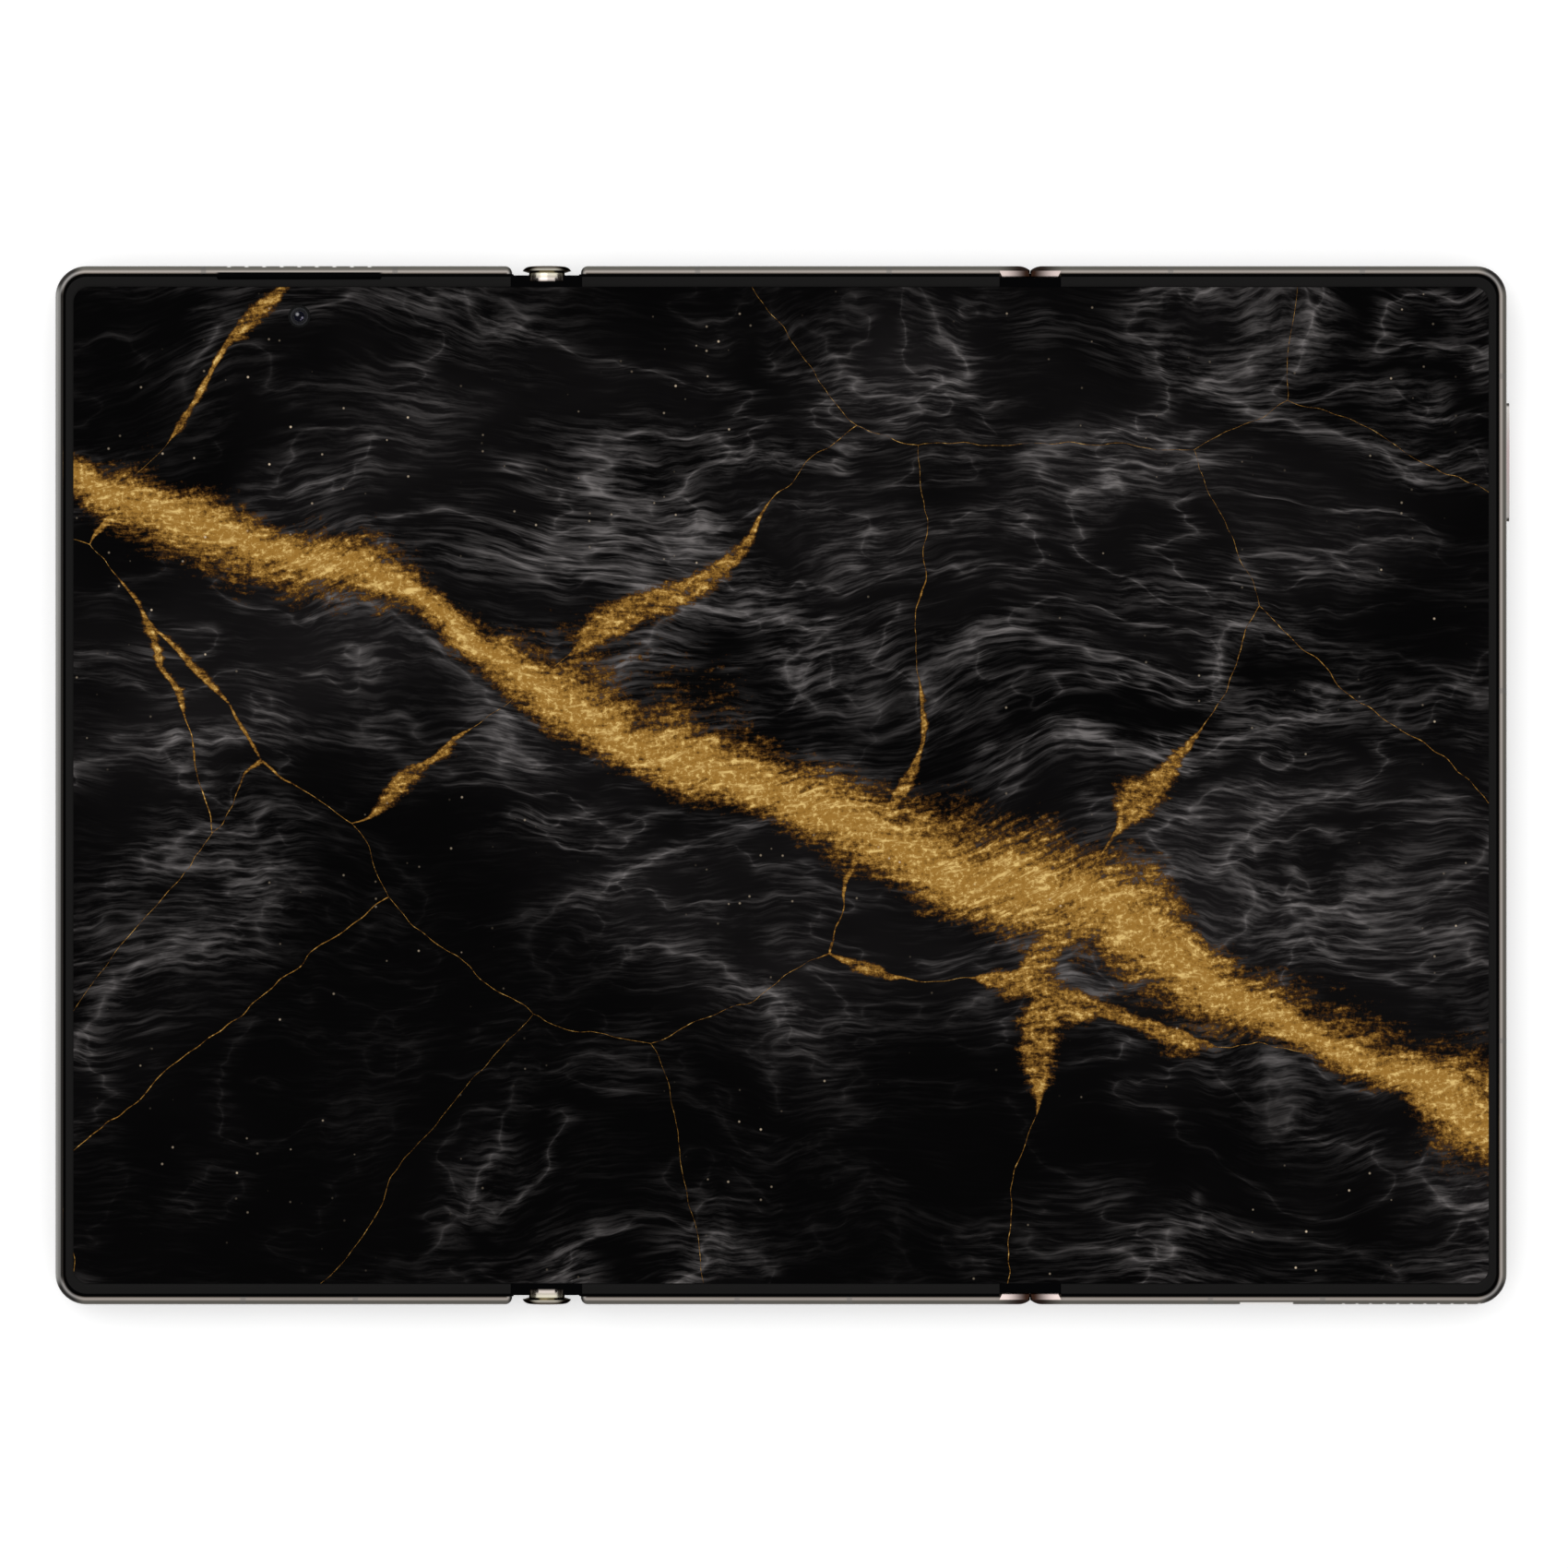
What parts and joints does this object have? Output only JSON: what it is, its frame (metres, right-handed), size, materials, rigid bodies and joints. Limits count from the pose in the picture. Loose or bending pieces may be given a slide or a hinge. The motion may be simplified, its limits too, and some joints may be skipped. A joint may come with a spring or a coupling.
{
  "type": "foldable smartphone",
  "caption": "Tri-fold smartphone lying open: one flexible display over thin hinged panels, geared hinges folding both ways, camera island, power key and charging port.",
  "frame": {"origin": "below the middle of the open phone, on the plane that the camera island touches", "axes": "+X from the left panel to the right one, +Y to the top edge, +Z out of the display"},
  "size_m": [0.2196, 0.1568, 0.0069],
  "materials": {
    "frame": "satin titanium-grey metal",
    "cover": "fine-grained dark leather",
    "bezel": "satin black",
    "display": "gloss over a lit panel",
    "battery": "foil wrap",
    "antenna": "satin",
    "module": "black moulding",
    "tray": "satin metal",
    "reader": "pressed steel",
    "island": "dark polished metal",
    "lens_glass": "black coated glass",
    "flash": "clear amber",
    "board": "solder resist",
    "steel": "ground steel",
    "hinge": "dark hinge steel",
    "cap": "polished metal",
    "key": "satin metal"
  },
  "bodies": {
    "right_panel": {"right_frame": "frame", "right_cover": "cover", "right_bezel": "bezel", "right_display": "display", "right_battery": "battery", "right_antenna_breaks": "antenna", "camera_island": "island", "camera_glass": "lens_glass", "camera_modules": "module", "camera_lenses": "lens_glass", "camera_flash": "flash", "main_board": "board", "usb_port": "reader", "loudspeaker": "module", "vibration_motor": "reader", "power_switch": "reader"},
    "power_key": {"power_key": "key"},
    "right_door": {"right_door": "hinge"},
    "inner_spine": {"inner_spine": "hinge", "inner_shafts": "steel", "inner_fold_display": "display"},
    "inner_arm_right": {"inner_arm_right": "steel"},
    "inner_arm_middle": {"inner_arm_middle": "steel"},
    "inner_idler_right": {"inner_idler_right": "steel"},
    "inner_idler_middle": {"inner_idler_middle": "steel"},
    "middle_panel": {"middle_frame": "frame", "middle_cover": "cover", "middle_bezel": "bezel", "middle_display": "display", "middle_battery": "battery", "middle_antenna_breaks": "antenna"},
    "middle_door": {"middle_door": "hinge"},
    "outer_wing_middle": {"outer_wing_middle": "hinge"},
    "outer_barrel": {"outer_barrel": "hinge", "outer_end_caps": "cap", "outer_shafts": "steel", "outer_fold_display": "display"},
    "outer_arm_middle": {"outer_arm_middle": "steel"},
    "outer_arm_left": {"outer_arm_left": "steel"},
    "outer_wing_left": {"outer_wing_left": "hinge"},
    "left_panel": {"left_frame": "frame", "left_cover": "cover", "left_bezel": "bezel", "left_display": "display", "left_battery": "battery", "left_antenna_breaks": "antenna", "front_camera": "module", "front_lens": "lens_glass", "earpiece": "module", "sim_reader": "reader"},
    "sim_tray": {"sim_tray": "tray"}
  },
  "joints": [
    {"name": "inner_fold", "type": "hinge", "parent": "inner_spine", "child": "inner_arm_right", "pos_m": [0.03921, 0, 0.00515], "axis": [0, -1, 0], "range_deg": [0, 90], "deforming": ["inner_fold_display"]},
    {"name": "inner_rail_right", "type": "hinge", "parent": "right_panel", "child": "inner_spine", "pos_m": [0.03818, 0, 0.00617], "axis": [0, 1, 0], "range_deg": [0, 90]},
    {"name": "inner_rail_middle", "type": "hinge", "parent": "inner_spine", "child": "middle_panel", "pos_m": [0.03653, 0, 0.00617], "axis": [0, 1, 0], "range_deg": [0, 90]},
    {"name": "inner_arm_turn", "type": "hinge", "parent": "inner_spine", "child": "inner_arm_middle", "pos_m": [0.03549, 0, 0.00515], "axis": [0, 1, 0], "range_deg": [0, 90]},
    {"name": "inner_idler_right_turn", "type": "hinge", "parent": "inner_spine", "child": "inner_idler_right", "pos_m": [0.03797, 0, 0.00515], "axis": [0, 1, 0], "range_deg": [0, 90]},
    {"name": "inner_idler_middle_turn", "type": "hinge", "parent": "inner_spine", "child": "inner_idler_middle", "pos_m": [0.03673, 0, 0.00515], "axis": [0, -1, 0], "range_deg": [0, 90]},
    {"name": "right_door_tilt", "type": "hinge", "parent": "right_panel", "child": "right_door", "pos_m": [0.04394, 0, 0.00592], "axis": [0, -1, 0], "range_deg": [0, 15]},
    {"name": "middle_door_tilt", "type": "hinge", "parent": "middle_panel", "child": "middle_door", "pos_m": [0.03076, 0, 0.00592], "axis": [0, 1, 0], "range_deg": [0, 15]},
    {"name": "outer_fold", "type": "hinge", "parent": "outer_barrel", "child": "outer_arm_middle", "pos_m": [-0.03485, 0, 0.0049], "axis": [0, 1, 0], "range_deg": [0, 90], "deforming": ["outer_fold_display"]},
    {"name": "outer_arm_turn", "type": "hinge", "parent": "outer_barrel", "child": "outer_arm_left", "pos_m": [-0.03645, 0, 0.0049], "axis": [0, -1, 0], "range_deg": [0, 90]},
    {"name": "outer_rail_1", "type": "hinge", "parent": "middle_panel", "child": "outer_wing_middle", "pos_m": [-0.03194, 0, 0.00624], "axis": [0, -1, 0], "range_deg": [0, 45]},
    {"name": "outer_rail_2", "type": "hinge", "parent": "outer_wing_middle", "child": "outer_barrel", "pos_m": [-0.03441, 0, 0.00624], "axis": [0, -1, 0], "range_deg": [0, 45]},
    {"name": "outer_rail_3", "type": "hinge", "parent": "outer_barrel", "child": "outer_wing_left", "pos_m": [-0.03689, 0, 0.00624], "axis": [0, -1, 0], "range_deg": [0, 45]},
    {"name": "outer_rail_4", "type": "hinge", "parent": "outer_wing_left", "child": "left_panel", "pos_m": [-0.03936, 0, 0.00624], "axis": [0, -1, 0], "range_deg": [0, 45]},
    {"name": "power_key_press", "type": "slide", "parent": "right_panel", "child": "power_key", "axis": [-1, 0, 0], "range_m": [0, 0.0003], "stiffness_N_per_m": 4000, "springref_m": -0.0001},
    {"name": "sim_tray_slide", "type": "slide", "parent": "left_panel", "child": "sim_tray", "axis": [0, -1, 0], "range_m": [0, 0.014]}
  ],
  "couplings": [
    {"joint": "inner_rail_right", "follows": "inner_fold", "ratio": 1},
    {"joint": "inner_rail_middle", "follows": "inner_fold", "ratio": 1},
    {"joint": "inner_arm_turn", "follows": "inner_fold", "ratio": 1},
    {"joint": "inner_idler_right_turn", "follows": "inner_fold", "ratio": 1},
    {"joint": "inner_idler_middle_turn", "follows": "inner_fold", "ratio": 1},
    {"joint": "right_door_tilt", "follows": "inner_fold", "ratio": 0.16667},
    {"joint": "middle_door_tilt", "follows": "inner_fold", "ratio": 0.16667},
    {"joint": "outer_arm_turn", "follows": "outer_fold", "ratio": 1},
    {"joint": "outer_rail_1", "follows": "outer_fold", "ratio": 0.5},
    {"joint": "outer_rail_2", "follows": "outer_fold", "ratio": 0.5},
    {"joint": "outer_rail_3", "follows": "outer_fold", "ratio": 0.5},
    {"joint": "outer_rail_4", "follows": "outer_fold", "ratio": 0.5}
  ]
}
